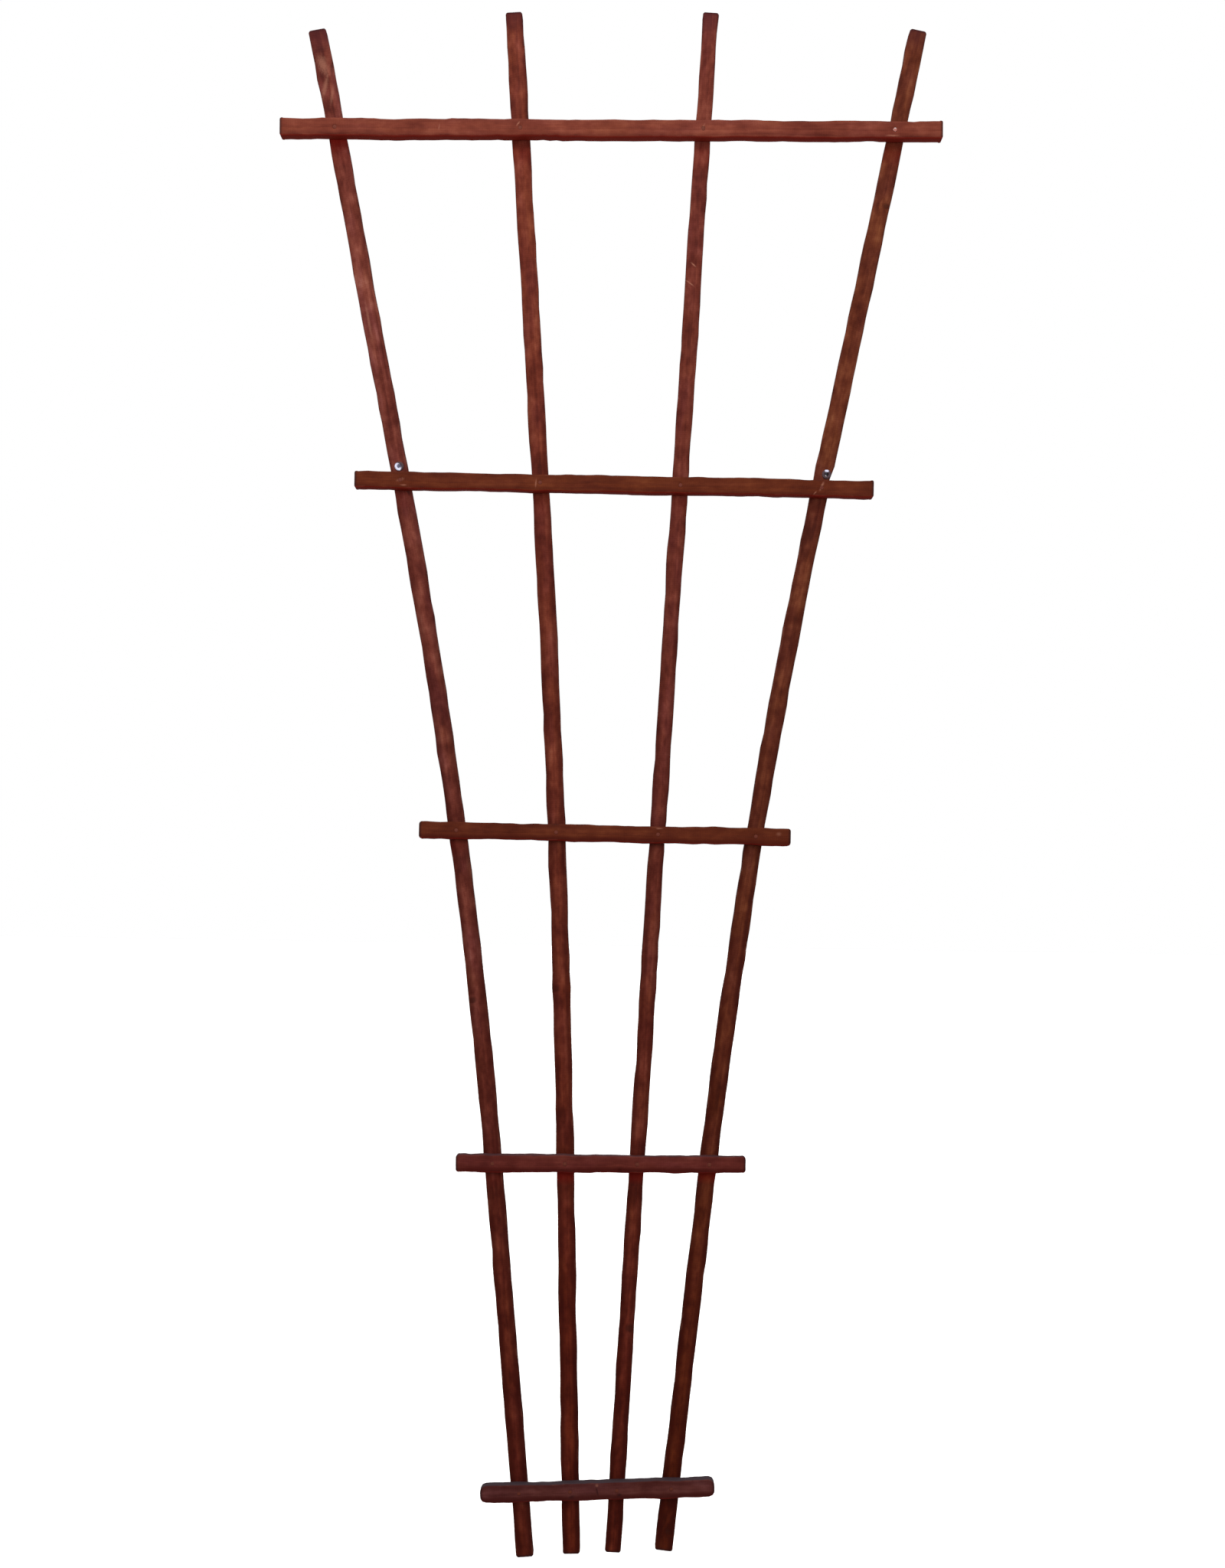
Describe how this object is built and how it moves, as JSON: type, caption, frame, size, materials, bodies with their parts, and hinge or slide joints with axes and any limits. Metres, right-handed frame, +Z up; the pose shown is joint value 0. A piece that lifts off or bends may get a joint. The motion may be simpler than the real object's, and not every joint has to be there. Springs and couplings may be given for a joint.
{
  "type": "fan trellis",
  "caption": "Flat wooden fan trellis: laths spread from a narrow foot and are held apart by crossbars nailed across their fronts, for a climbing plant.",
  "frame": {"origin": "on the ground, in the middle of the four feet and in the plane where the crossbars meet the uprights", "axes": "+X to the viewer's right, +Z up, +Y towards the wall; the crossbars face -Y"},
  "size_m": [0.7818, 0.024, 1.8362],
  "materials": {
    "upright_wood": "sawn softwood, red-brown stain soaked in, matt",
    "crossbar_wood": "sawn softwood, red-brown stain soaked in, matt",
    "stained_nail": "flat wire-nail head stained over with the wood",
    "zinc": "bright zinc plating"
  },
  "bodies": {
    "root": {"left_outer_upright": "upright_wood", "left_inner_upright": "upright_wood", "right_inner_upright": "upright_wood", "right_outer_upright": "upright_wood", "foot_crossbar": "crossbar_wood", "lower_crossbar": "crossbar_wood", "middle_crossbar": "crossbar_wood", "upper_crossbar": "crossbar_wood", "top_crossbar": "crossbar_wood", "foot_nail_1": "stained_nail", "foot_nail_2": "stained_nail", "foot_nail_3": "stained_nail", "foot_nail_4": "stained_nail", "lower_nail_1": "stained_nail", "lower_nail_2": "stained_nail", "lower_nail_3": "stained_nail", "lower_nail_4": "stained_nail", "middle_nail_1": "stained_nail", "middle_nail_2": "stained_nail", "middle_nail_3": "stained_nail", "middle_nail_4": "stained_nail", "upper_nail_1": "stained_nail", "upper_nail_2": "stained_nail", "upper_nail_3": "stained_nail", "upper_nail_4": "stained_nail", "top_nail_1": "stained_nail", "top_nail_2": "stained_nail", "top_nail_3": "stained_nail", "top_nail_4": "stained_nail", "left_fixing_eyelet": "zinc", "right_fixing_eyelet": "zinc"}
  },
  "joints": []
}
